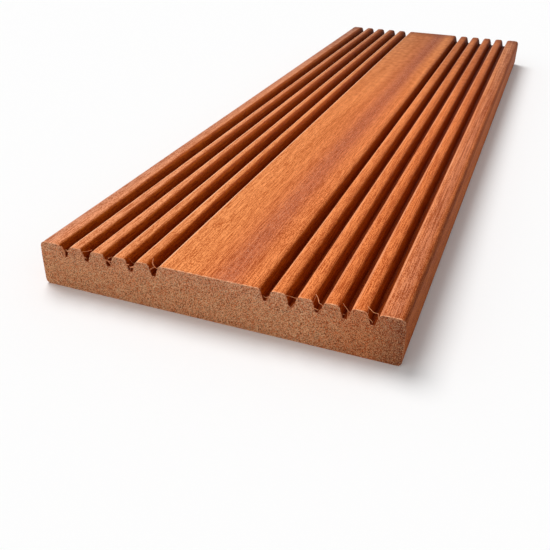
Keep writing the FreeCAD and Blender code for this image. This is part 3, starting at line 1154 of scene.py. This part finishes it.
@dataclass
class GrooveFibres:
    """Torn strands that hang in the mouths of the grooves at the sawn end.

    Each strand lies where the photograph shows it. Grooves are counted from the left.
    """

    section: BoardSection
    front_y: float
    box: tuple[Vector, Vector]
    spacing: float = 0.16
    ragged: float = 0.10
    fullness: float = 0.8
    thinness: float = 0.5
    sides: int = 6
    bend_mm: float = 0.9
    lump_mm: float = 0.45
    lump_reach: Pair = (0.25, 0.75)
    lump_girths: Pair = (0.5, 1.25)

    def strands(self) -> list[TornStrand]:
        """Returns the strands, groove by groove."""
        f = FibrePoint
        return [
            TornStrand(0, 0.75, (f(-1.6, 4.5, 0.2, 0.3), f(-1.3, 4.0, 0.2, 0.5), f(-0.8, 2.6, 0.2, 0.7),
                                 f(-0.5, 1.4, 0.2, 0.65), f(-0.3, 0.1, 0.2, 0.5))),
            TornStrand(0, 1.0, (f(0.3, 3.3, 0.3, 0.1), f(0.9, 3.1, 0.1, 0.2), f(1.3, 2.8, 0.1, 0.32),
                                f(1.5, 3.2, 0.2, 0.2), f(1.9, 3.6, 0.3, 0.14))),
            TornStrand(1, 0.6, (f(-2.0, 3.7, 0.1, 0.16), f(-1.5, 3.95, 0.1, 0.16), f(-0.9, 4.35, 0.1, 0.1),
                                f(0.3, 4.57, 0.2, 0.14), f(1.25, 4.85, 0.6, 0.18), f(2.05, 4.95, 1.5, 0.15))),
            TornStrand(1, 0.7, (f(-1.2, 1.7, 0.1, 0.24), f(-0.5, 1.8, 0.0, 0.24), f(-0.1, 1.6, 0.1, 0.16),
                                f(0.05, 1.1, 0.2, 0.1))),
            TornStrand(1, 0.5, (f(-1.9, 3.6, 0.1, 0.2), f(-1.5, 2.8, 0.1, 0.25), f(-1.2, 2.0, 0.1, 0.15))),
            TornStrand(2, 0.6, (f(-1.9, 2.8, 0.0, 0.34), f(-0.9, 2.7, 0.0, 0.34), f(0.1, 2.65, 0.1, 0.28),
                                f(0.9, 2.45, 0.1, 0.2), f(1.5, 2.4, 0.1, 0.2))),
            TornStrand(2, 0.75, (f(-0.2, 2.6, 0.1, 0.16), f(0.5, 2.0, 0.1, 0.24), f(1.2, 1.4, 0.1, 0.24))),
            TornStrand(2, 0.4, (f(2.2, 4.8, 0.2, 0.14), f(1.4, 4.4, 0.1, 0.1), f(0.7, 4.1, 0.2, 0.08))),
            TornStrand(2, 1.0, (f(0.25, 3.65, 0.2, 0.1), f(0.5, 3.85, 0.2, 0.3), f(0.75, 4.1, 0.2, 0.12))),
            TornStrand(3, 0.15, (f(-1.6, 4.9, 1.9, 0.06), f(-0.4, 4.8, 0.8, 0.1), f(0.6, 4.6, 0.2, 0.1),
                                 f(1.3, 4.1, 0.1, 0.1), f(1.8, 3.6, 0.1, 0.08))),
            TornStrand(3, 0.8, (f(-0.4, 1.9, 0.1, 0.14), f(0.4, 2.0, 0.1, 0.34), f(1.1, 2.25, 0.1, 0.56),
                                f(1.8, 2.6, 0.1, 0.6))),
            TornStrand(3, 0.3, (f(0.1, 1.8, 0.3, 0.2), f(-0.15, 1.1, 0.2, 0.18), f(-0.25, 0.4, 0.2, 0.2))),
            TornStrand(3, 1.0, (f(-1.6, 2.7, 0.1, 0.3), f(-0.8, 2.9, 0.0, 0.26), f(-0.4, 3.1, 0.1, 0.12))),
            TornStrand(4, 0.75, (f(-2.2, 4.9, 4.6, 0.16), f(-1.8, 4.8, 3.6, 0.22), f(-1.3, 4.75, 2.5, 0.22),
                                 f(-0.4, 4.7, 1.2, 0.24), f(0.6, 4.4, 0.3, 0.24), f(1.4, 4.1, 0.1, 0.28),
                                 f(1.9, 3.9, 0.1, 0.2))),
            TornStrand(4, 0.45, (f(-1.5, 2.3, 0.1, 0.26), f(-1.1, 2.9, 0.1, 0.32), f(-0.4, 3.5, 0.1, 0.3),
                                 f(0.4, 4.0, 0.2, 0.28), f(1.1, 4.3, 0.3, 0.2))),
            TornStrand(5, 0.6, (f(-0.7, 2.3, 0.2, 0.08), f(-0.2, 2.0, 0.1, 0.14), f(0.4, 1.9, 0.1, 0.16),
                                f(1.0, 2.2, 0.1, 0.16), f(1.7, 2.7, 0.1, 0.2))),
            TornStrand(5, 0.45, (f(1.4, 2.2, 0.2, 0.35), f(0.95, 1.1, 0.2, 0.45), f(0.4, 0.2, 0.2, 0.3))),
            TornStrand(5, 0.35, (f(-2.4, 4.9, 1.2, 0.08), f(-1.7, 4.8, 0.2, 0.12), f(-1.9, 4.2, 0.1, 0.1),
                                 f(-2.0, 3.9, 0.1, 0.06))),
            TornStrand(6, 0.5, (f(-2.0, 4.6, 0.1, 0.12), f(-1.2, 4.6, 0.1, 0.12), f(-0.4, 4.5, 0.1, 0.12),
                                f(0.5, 4.4, 0.1, 0.16), f(1.4, 4.3, 0.1, 0.2), f(2.1, 4.25, 0.1, 0.26))),
            TornStrand(6, 0.35, (f(1.5, 2.0, 0.1, 0.28), f(0.9, 1.3, 0.1, 0.3), f(0.5, 0.7, 0.1, 0.3),
                                 f(0.1, 0.1, 0.1, 0.2))),
            TornStrand(7, 0.9, (f(-2.1, 4.95, 4.3, 0.14), f(-1.7, 4.9, 3.7, 0.22), f(-0.9, 4.85, 2.6, 0.24),
                                f(-0.2, 4.75, 1.3, 0.26), f(0.3, 4.5, 0.3, 0.26), f(0.6, 4.2, 0.1, 0.18),
                                f(1.3, 4.0, 0.1, 0.18), f(1.75, 3.5, 0.1, 0.18), f(1.9, 3.0, 0.1, 0.14))),
            TornStrand(7, 0.25, (f(-1.75, 4.95, 3.5, 0.1), f(-1.6, 4.85, 1.7, 0.12), f(-1.5, 4.7, 0.3, 0.12),
                                 f(-1.85, 3.9, 0.1, 0.12))),
            TornStrand(7, 0.9, (f(-1.2, 2.0, 0.0, 0.2), f(-0.7, 1.75, 0.0, 0.24), f(-0.2, 1.6, 0.0, 0.2),
                                f(0.3, 1.5, 0.1, 0.14))),
            TornStrand(7, 0.5, (f(1.4, 2.2, 0.2, 0.3), f(0.8, 1.2, 0.2, 0.4), f(0.55, 0.2, 0.2, 0.35))),
            TornStrand(7, 0.3, (f(1.5, 3.5, 0.3, 0.08), f(1.75, 2.6, 0.2, 0.12), f(1.4, 2.0, 0.2, 0.12))),
            TornStrand(8, 0.65, (f(-1.4, 4.95, 2.1, 0.14), f(-0.35, 4.89, 0.8, 0.14), f(0.5, 4.4, 0.2, 0.16),
                                 f(1.05, 3.75, 0.1, 0.2), f(1.4, 3.5, 0.1, 0.24), f(1.95, 3.4, 0.1, 0.2))),
            TornStrand(8, 0.7, (f(1.0, 3.8, 0.1, 0.12), f(1.0, 2.8, 0.1, 0.14), f(1.05, 1.8, 0.1, 0.2),
                                f(0.95, 0.7, 0.1, 0.28))),
            TornStrand(8, 0.25, (f(-1.0, 1.7, 0.4, 0.1), f(-0.45, 1.8, 0.4, 0.24), f(-0.1, 1.8, 0.4, 0.18))),
            TornStrand(9, 0.95, (f(-3.0, 4.9, 3.8, 0.16), f(-2.35, 4.85, 3.0, 0.18), f(-1.3, 4.85, 2.0, 0.16),
                                 f(-0.4, 4.9, 0.95, 0.18), f(0.55, 4.95, 0.6, 0.18), f(1.3, 4.95, 0.6, 0.2),
                                 f(1.6, 4.75, 0.3, 0.2), f(1.65, 4.3, 0.1, 0.18), f(1.85, 3.55, 0.1, 0.16),
                                 f(2.1, 3.9, 0.1, 0.1))),
            TornStrand(9, 0.8, (f(-1.4, 2.5, 0.2, 0.1), f(-0.9, 2.3, 0.1, 0.16), f(-0.5, 1.9, 0.1, 0.18),
                                f(-0.2, 1.5, 0.1, 0.15), f(0.0, 1.1, 0.1, 0.08))),
            TornStrand(9, 0.2, (f(-2.3, 4.9, 1.7, 0.08), f(-1.85, 4.8, 0.6, 0.1), f(-1.9, 3.9, 0.1, 0.1))),
        ]

    def build(self, finish: bpy.types.Material) -> bpy.types.Object:
        """Builds all strands as one mesh.

        Args:
            finish: The finish of torn fibre.

        Returns:
            The finished piece.
        """
        mesh = bpy.data.meshes.new("strand_lines")
        places = []
        edges = []
        spreads = []
        clean = []
        floor_height = self.section.thickness - self.section.groove_depth
        centres = self.section.groove_centres()
        for strand in self.strands():
            for number, point in enumerate(strand.points):
                if number:
                    edges.append((len(places) - 1, len(places)))
                places.append((
                    (centres[strand.groove] + point.across) * MM,
                    (self.front_y + point.back) * MM,
                    (floor_height + point.up) * MM,
                ))
                spreads.append(point.spread * self.fullness * MM)
                clean.append(strand.clean)
        mesh.from_pydata(places, edges, [])
        mesh.attributes.new("spread", "FLOAT", "POINT").data.foreach_set("value", spreads)
        mesh.attributes.new("clean", "FLOAT", "POINT").data.foreach_set("value", clean)
        lines = bpy.data.objects.new("strand_lines", mesh)
        values = {
            "Lines": lines,
            "Spacing": self.spacing * MM,
            "Ragged": self.ragged * MM,
            "Thinness": self.thinness,
            "Sides": self.sides,
            "Low": self.box[0],
            "High": self.box[1],
            "Fibre": finish,
        }
        piece = run_tree(self._tree(values), "groove_fibres", values)
        bpy.data.objects.remove(lines)
        return piece

    def _tree(self, values: dict) -> NodeTree:
        """Builds the node tree that gives each line its uneven, flattened body, with its inputs."""
        tree = new_tree("fibre_strands", values)
        sizes = add(tree, "NodeGroupInput").outputs
        lines = add(tree, "GeometryNodeObjectInfo", {"Object": sizes["Lines"]}).outputs["Geometry"]
        curves = add(tree, "GeometryNodeMeshToCurve", {"Mesh": lines})
        bent = add(tree, "GeometryNodeCurveSplineType", {"Curve": curves}, spline_type="CATMULL_ROM")
        fine = add(tree, "GeometryNodeResampleCurve", {
            "Curve": bent, "Length": sizes["Spacing"],
        }, mode="LENGTH")
        position = add(tree, "GeometryNodeInputPosition")
        noise, lumps = (
            add(tree, "ShaderNodeTexNoise", {"Vector": position, "Scale": 1 / (size * MM), "Detail": detail})
            for size, detail in ((self.bend_mm, 2.0), (self.lump_mm, 1.0))
        )
        centred = add(tree, "ShaderNodeVectorMath", {
            0: noise.outputs["Color"], 1: (0.5, 0.5, 0.5),
        }, operation="SUBTRACT")
        shake = add(tree, "ShaderNodeVectorMath", {0: centred, "Scale": sizes["Ragged"]}, operation="SCALE")
        wavy = add(tree, "GeometryNodeSetPosition", {"Geometry": fine, "Offset": shake})
        middle = add(tree, "GeometryNodeStoreNamedAttribute", {
            "Geometry": wavy, "Name": "middle", "Value": position,
        }, data_type="FLOAT_VECTOR", domain="POINT")
        spread = add(tree, "GeometryNodeInputNamedAttribute", {"Name": "spread"}, data_type="FLOAT")
        uneven = fade(tree, lumps, self.lump_reach, self.lump_girths)
        girth = add(tree, "ShaderNodeMath", {0: spread, 1: uneven}, operation="MULTIPLY")
        outline = add(tree, "GeometryNodeCurvePrimitiveCircle", {"Resolution": sizes["Sides"], "Radius": 1.0})
        body = add(tree, "GeometryNodeCurveToMesh", {
            "Curve": middle, "Profile Curve": outline, "Scale": girth, "Fill Caps": True,
        })
        centre = add(tree, "GeometryNodeInputNamedAttribute", {"Name": "middle"}, data_type="FLOAT_VECTOR")
        aside = add(tree, "ShaderNodeVectorMath", {0: position, 1: centre}, operation="SUBTRACT")
        squeeze = add(tree, "ShaderNodeCombineXYZ", {"X": 1.0, "Y": sizes["Thinness"], "Z": 1.0})
        flat = add(tree, "ShaderNodeVectorMath", {0: aside, 1: squeeze, 2: centre}, operation="MULTIPLY_ADD")
        flattened = add(tree, "GeometryNodeSetPosition", {"Geometry": body, "Position": flat})
        held = hold_within(tree, flattened, sizes["Low"], sizes["High"])
        smooth = add(tree, "GeometryNodeSetShadeSmooth", {"Geometry": held}, domain="FACE")
        real = add(tree, "GeometryNodeRealizeInstances", {"Geometry": smooth})
        dressed = add(tree, "GeometryNodeSetMaterial", {"Geometry": real, "Material": sizes["Fibre"]})
        add(tree, "NodeGroupOutput", {0: dressed})
        return tree


@dataclass
class SawFuzz:
    """The short loose fibres that fringe both sawn ends, drawn a little thicker than they are."""

    box: tuple[Vector, Vector]
    strip: float = 0.4
    per_mm2: float = 10.0
    length: float = 0.42
    girth: float = 0.08
    outward: float = 0.9
    stray: tuple[Triple, Triple] = ((-1.4, -0.2, -0.7), (1.4, 0.2, 0.0))
    size_range: tuple[Triple, Triple] = ((0.7, 0.7, 0.35), (1.2, 1.2, 1.0))
    paleness_range: Pair = (0.55, 1.0)
    sides: int = 3
    end_facing: float = 0.5
    seed: int = 11

    def build(self, board: bpy.types.Object, finish: bpy.types.Material) -> bpy.types.Object:
        """Builds the fringe of both ends as one mesh.

        Args:
            board: The finished board, which the fibres grow from.
            finish: The finish of torn fibre.

        Returns:
            The finished piece.
        """
        reach = max(abs(corner[1]) for corner in board.bound_box) - self.strip * MM
        values = {
            "Board": board,
            "Reach": reach,
            "Density": self.per_mm2 / MM ** 2,
            "Length": self.length * MM,
            "Girth": self.girth * MM,
            "Outward": self.outward,
            "Low": self.box[0],
            "High": self.box[1],
            "Seed": self.seed,
            "Fibre": finish,
        }
        return run_tree(self._tree(values), "saw_fuzz", values)

    def _tree(self, values: dict) -> NodeTree:
        """Builds the node tree that plants the fibres along the cut, with its named inputs."""
        tree = new_tree("end_fringe", values)
        sizes = add(tree, "NodeGroupInput").outputs
        board = add(tree, "GeometryNodeObjectInfo", {"Object": sizes["Board"]}).outputs["Geometry"]

        # Only the long faces, close to a cut.
        position = add(tree, "GeometryNodeInputPosition")
        along = add(tree, "ShaderNodeSeparateXYZ", {"Vector": position}).outputs["Y"]
        from_middle = add(tree, "ShaderNodeMath", {0: along}, operation="ABSOLUTE")
        near_cut = add(tree, "FunctionNodeCompare", {
            0: from_middle, 1: sizes["Reach"],
        }, operation="GREATER_THAN")
        normal = add(tree, "GeometryNodeInputNormal")
        facing = add(tree, "ShaderNodeSeparateXYZ", {"Vector": normal}).outputs["Y"]
        turned = add(tree, "ShaderNodeMath", {0: facing}, operation="ABSOLUTE")
        long_face = add(tree, "FunctionNodeCompare", {0: turned, 1: self.end_facing}, operation="LESS_THAN")
        chosen = add(tree, "FunctionNodeBooleanMath", {0: near_cut, 1: long_face}, operation="AND")
        roots = add(tree, "GeometryNodeDistributePointsOnFaces", {
            "Mesh": board, "Selection": chosen, "Density": sizes["Density"], "Seed": sizes["Seed"],
        })

        # Each fibre leans out over the cut, away from the wood, and never up from the top.
        out = add(tree, "ShaderNodeSeparateXYZ", {"Vector": roots.outputs["Normal"]}).outputs
        flat_top = add(tree, "ShaderNodeMath", {0: out["Z"], 1: 0.0}, operation="MINIMUM")
        past = add(tree, "ShaderNodeMath", {0: along}, operation="SIGN")
        over = add(tree, "ShaderNodeMath", {0: past, 1: sizes["Outward"]}, operation="MULTIPLY")
        lean = add(tree, "ShaderNodeCombineXYZ", {"X": out["X"], "Y": over, "Z": flat_top})
        stray = add(tree, "FunctionNodeRandomValue", {
            "Min": self.stray[0], "Max": self.stray[1], "Seed": sizes["Seed"],
        }, data_type="FLOAT_VECTOR")
        aim = add(tree, "ShaderNodeVectorMath", {0: lean, 1: stray}, operation="ADD")
        turn = add(tree, "FunctionNodeAlignRotationToVector", {"Vector": aim}, axis="Z")
        spike = add(tree, "GeometryNodeMeshCone", {
            "Vertices": self.sides, "Radius Top": 0.0,
            "Radius Bottom": sizes["Girth"], "Depth": sizes["Length"],
        })
        size = add(tree, "FunctionNodeRandomValue", {
            "Min": self.size_range[0], "Max": self.size_range[1], "Seed": sizes["Seed"],
        }, data_type="FLOAT_VECTOR")
        paleness_range = add(tree, "FunctionNodeRandomValue", {
            "Min": self.paleness_range[0], "Max": self.paleness_range[1], "Seed": sizes["Seed"],
        }, data_type="FLOAT")
        marked = add(tree, "GeometryNodeStoreNamedAttribute", {
            "Geometry": roots, "Name": "clean", "Value": paleness_range,
        }, data_type="FLOAT", domain="POINT")
        grown = add(tree, "GeometryNodeInstanceOnPoints", {
            "Points": marked, "Instance": spike, "Rotation": turn, "Scale": size,
        })
        real = add(tree, "GeometryNodeRealizeInstances", {"Geometry": grown})
        held = hold_within(tree, real, sizes["Low"], sizes["High"])
        dressed = add(tree, "GeometryNodeSetMaterial", {"Geometry": held, "Material": sizes["Fibre"]})
        add(tree, "NodeGroupOutput", {0: dressed})
        return tree


def new_tree(name: str, values: dict) -> NodeTree:
    """Makes an empty geometry node tree.

    Args:
        name: The tree's name.
        values: A value for each of its inputs, by name. It gives the kind of the input's socket.

    Returns:
        The tree, with its inputs and one geometry output.
    """
    tree = bpy.data.node_groups.new(name, "GeometryNodeTree")
    tree.is_modifier = True
    for label, value in values.items():
        kind = SOCKET_KINDS[type(value)]
        tree.interface.new_socket(label, in_out="INPUT", socket_type="NodeSocket" + kind)
    tree.interface.new_socket("Geometry", in_out="OUTPUT", socket_type="NodeSocketGeometry")
    return tree


def hold_within(tree: NodeTree, geometry: Feed, low: Feed, high: Feed) -> Node:
    """Presses loose fibres back to the board's own sizes, so that none stands out past them.

    Args:
        tree: The node tree.
        geometry: The fibres.
        low: The lowest corner that they may reach.
        high: The highest corner that they may reach.

    Returns:
        The fibres, held within the two corners.
    """
    position = add(tree, "GeometryNodeInputPosition")
    above = add(tree, "ShaderNodeVectorMath", {0: position, 1: low}, operation="MAXIMUM")
    within = add(tree, "ShaderNodeVectorMath", {0: above, 1: high}, operation="MINIMUM")
    return add(tree, "GeometryNodeSetPosition", {"Geometry": geometry, "Position": within})


def run_tree(tree: NodeTree, name: str, values: dict) -> bpy.types.Object:
    """Runs a geometry node tree and keeps its result as a plain mesh.

    Args:
        tree: The node tree.
        name: The finished piece's name.
        values: A value for each of the tree's named inputs.

    Returns:
        The piece, linked to the scene, with no modifier.
    """
    maker = bpy.data.objects.new(name + "_maker", bpy.data.meshes.new(name + "_maker"))
    bpy.context.scene.collection.objects.link(maker)
    modifier = maker.modifiers.new(tree.name, "NODES")
    modifier.node_group = tree
    for item in tree.interface.items_tree:
        if item.in_out == "INPUT" and item.name in values:
            modifier[item.identifier] = values[item.name]
    graph = bpy.context.evaluated_depsgraph_get()
    mesh = bpy.data.meshes.new_from_object(maker.evaluated_get(graph), depsgraph=graph)
    mesh.name = name
    bpy.data.objects.remove(maker)
    piece = bpy.data.objects.new(name, mesh)
    bpy.context.scene.collection.objects.link(piece)
    return piece


@dataclass
class Studio:
    """White paper on a level floor, a large soft key lamp, a white card in front and an even fill.

    The shares are those of the light on a level surface, and together they make 1. The
    card's share is small, because it stands low and lights the front end instead.
    """

    floor_size_m: float = 12.0
    key_direction: Triple = (-0.45, 0.35, 0.82)
    key_share: float = 0.56
    key_softness_deg: float = 34.0
    card_direction: Triple = (-0.25, -0.90, 0.34)
    card_share: float = 0.06
    card_softness_deg: float = 60.0

    def build(self) -> None:
        """Builds the floor, the key lamp and the world."""
        half = self.floor_size_m / 2
        mesh = bpy.data.meshes.new("studio_floor")
        corners = [(-half, -half, 0), (half, -half, 0), (half, half, 0), (-half, half, 0)]
        mesh.from_pydata(corners, [], [(0, 1, 2, 3)])
        mesh.materials.append(StudioFloor().build())
        floor = bpy.data.objects.new("studio_floor", mesh)
        bpy.context.scene.collection.objects.link(floor)

        self._lamp("key_lamp", self.key_direction, self.key_share, self.key_softness_deg)
        self._lamp("front_card", self.card_direction, self.card_share, self.card_softness_deg)

        world = bpy.data.worlds.new("studio_fill")
        bpy.context.scene.world = world
        world.use_nodes = True
        tree = world.node_tree
        tree.nodes.clear()
        rest = 1.0 - self.key_share - self.card_share
        fill = add(tree, "ShaderNodeBackground", {"Color": (1, 1, 1, 1), "Strength": rest})
        white = add(tree, "ShaderNodeBackground", {"Color": (1, 1, 1, 1), "Strength": 1.0})
        mix = add(tree, "ShaderNodeMixShader", {0: sees_white(tree), 1: fill, 2: white})
        add(tree, "ShaderNodeOutputWorld", {"Surface": mix})

    def _lamp(self, name: str, direction: Triple, share: float, softness_deg: float) -> None:
        """Builds one lamp.

        Args:
            name: The lamp's name.
            direction: From the board towards the lamp.
            share: The share of the light on a level surface that it gives.
            softness_deg: How wide it looks from the board.
        """
        towards = Vector(direction).normalized()
        data = bpy.data.lights.new(name, "SUN")
        data.energy = math.pi * share / towards.z
        data.angle = math.radians(softness_deg)
        lamp = bpy.data.objects.new(name, data)
        lamp.rotation_euler = towards.to_track_quat("Z", "Y").to_euler()
        bpy.context.scene.collection.objects.link(lamp)


@dataclass
class PhotoCamera:
    """The photograph's camera, found by fitting the board's edges and grooves to it."""

    eye_mm: Triple = (98.4, -415.2, 147.3)
    azimuth_deg: float = 20.81
    elevation_deg: float = 30.79
    roll_deg: float = 0.87
    focal_px: float = 694.4
    picture_px: int = 550
    sensor_mm: float = 36.0
    clip_start_m: float = 0.01

    def build(self) -> None:
        """Builds the camera and makes it the scene's own."""
        data = bpy.data.cameras.new("photo_camera")
        data.sensor_width = self.sensor_mm
        data.lens = self.focal_px / self.picture_px * self.sensor_mm
        data.clip_start = self.clip_start_m
        camera = bpy.data.objects.new("photo_camera", data)
        camera.location = Vector(self.eye_mm) * MM
        aim = Euler((math.radians(90 - self.elevation_deg), 0.0, math.radians(self.azimuth_deg)))
        roll = Euler((0.0, 0.0, math.radians(self.roll_deg)))
        camera.rotation_euler = (aim.to_matrix() @ roll.to_matrix()).to_euler()
        bpy.context.scene.collection.objects.link(camera)
        bpy.context.scene.camera = camera


def enter(piece: bpy.types.Object) -> None:
    """Gives a finished piece its body and reports it."""
    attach(piece, BODY)
    piece.data.calc_loop_triangles()
    LOG.info("%s: %d triangles", piece.name, len(piece.data.loop_triangles))


def main() -> None:
    """Builds the board's looks, the studio and the camera."""
    logging.basicConfig(level=logging.INFO, format="%(message)s")
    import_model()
    low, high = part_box(BOARD_NODE)
    scene = bpy.context.scene
    scene.view_settings.view_transform = "Standard"

    PhotoCamera().build()
    Studio().build()
    section = BoardSection(width=(high[0] - low[0]) / MM, thickness=(high[2] - low[2]) / MM)
    stock = BoardStock(section, length=(high[1] - low[1]) / MM)
    board = stock.build(PlanedHardwood().build(), SawnEndGrain().build())
    enter(board)
    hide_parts(BOARD_NODE)
    torn = TornFibre().build()
    limits = (Vector(low), Vector(high))
    enter(GrooveFibres(section, low[1] / MM + stock.saw_room, limits).build(torn))
    enter(SawFuzz(limits).build(board, torn))


if __name__ == "__main__":
    main()
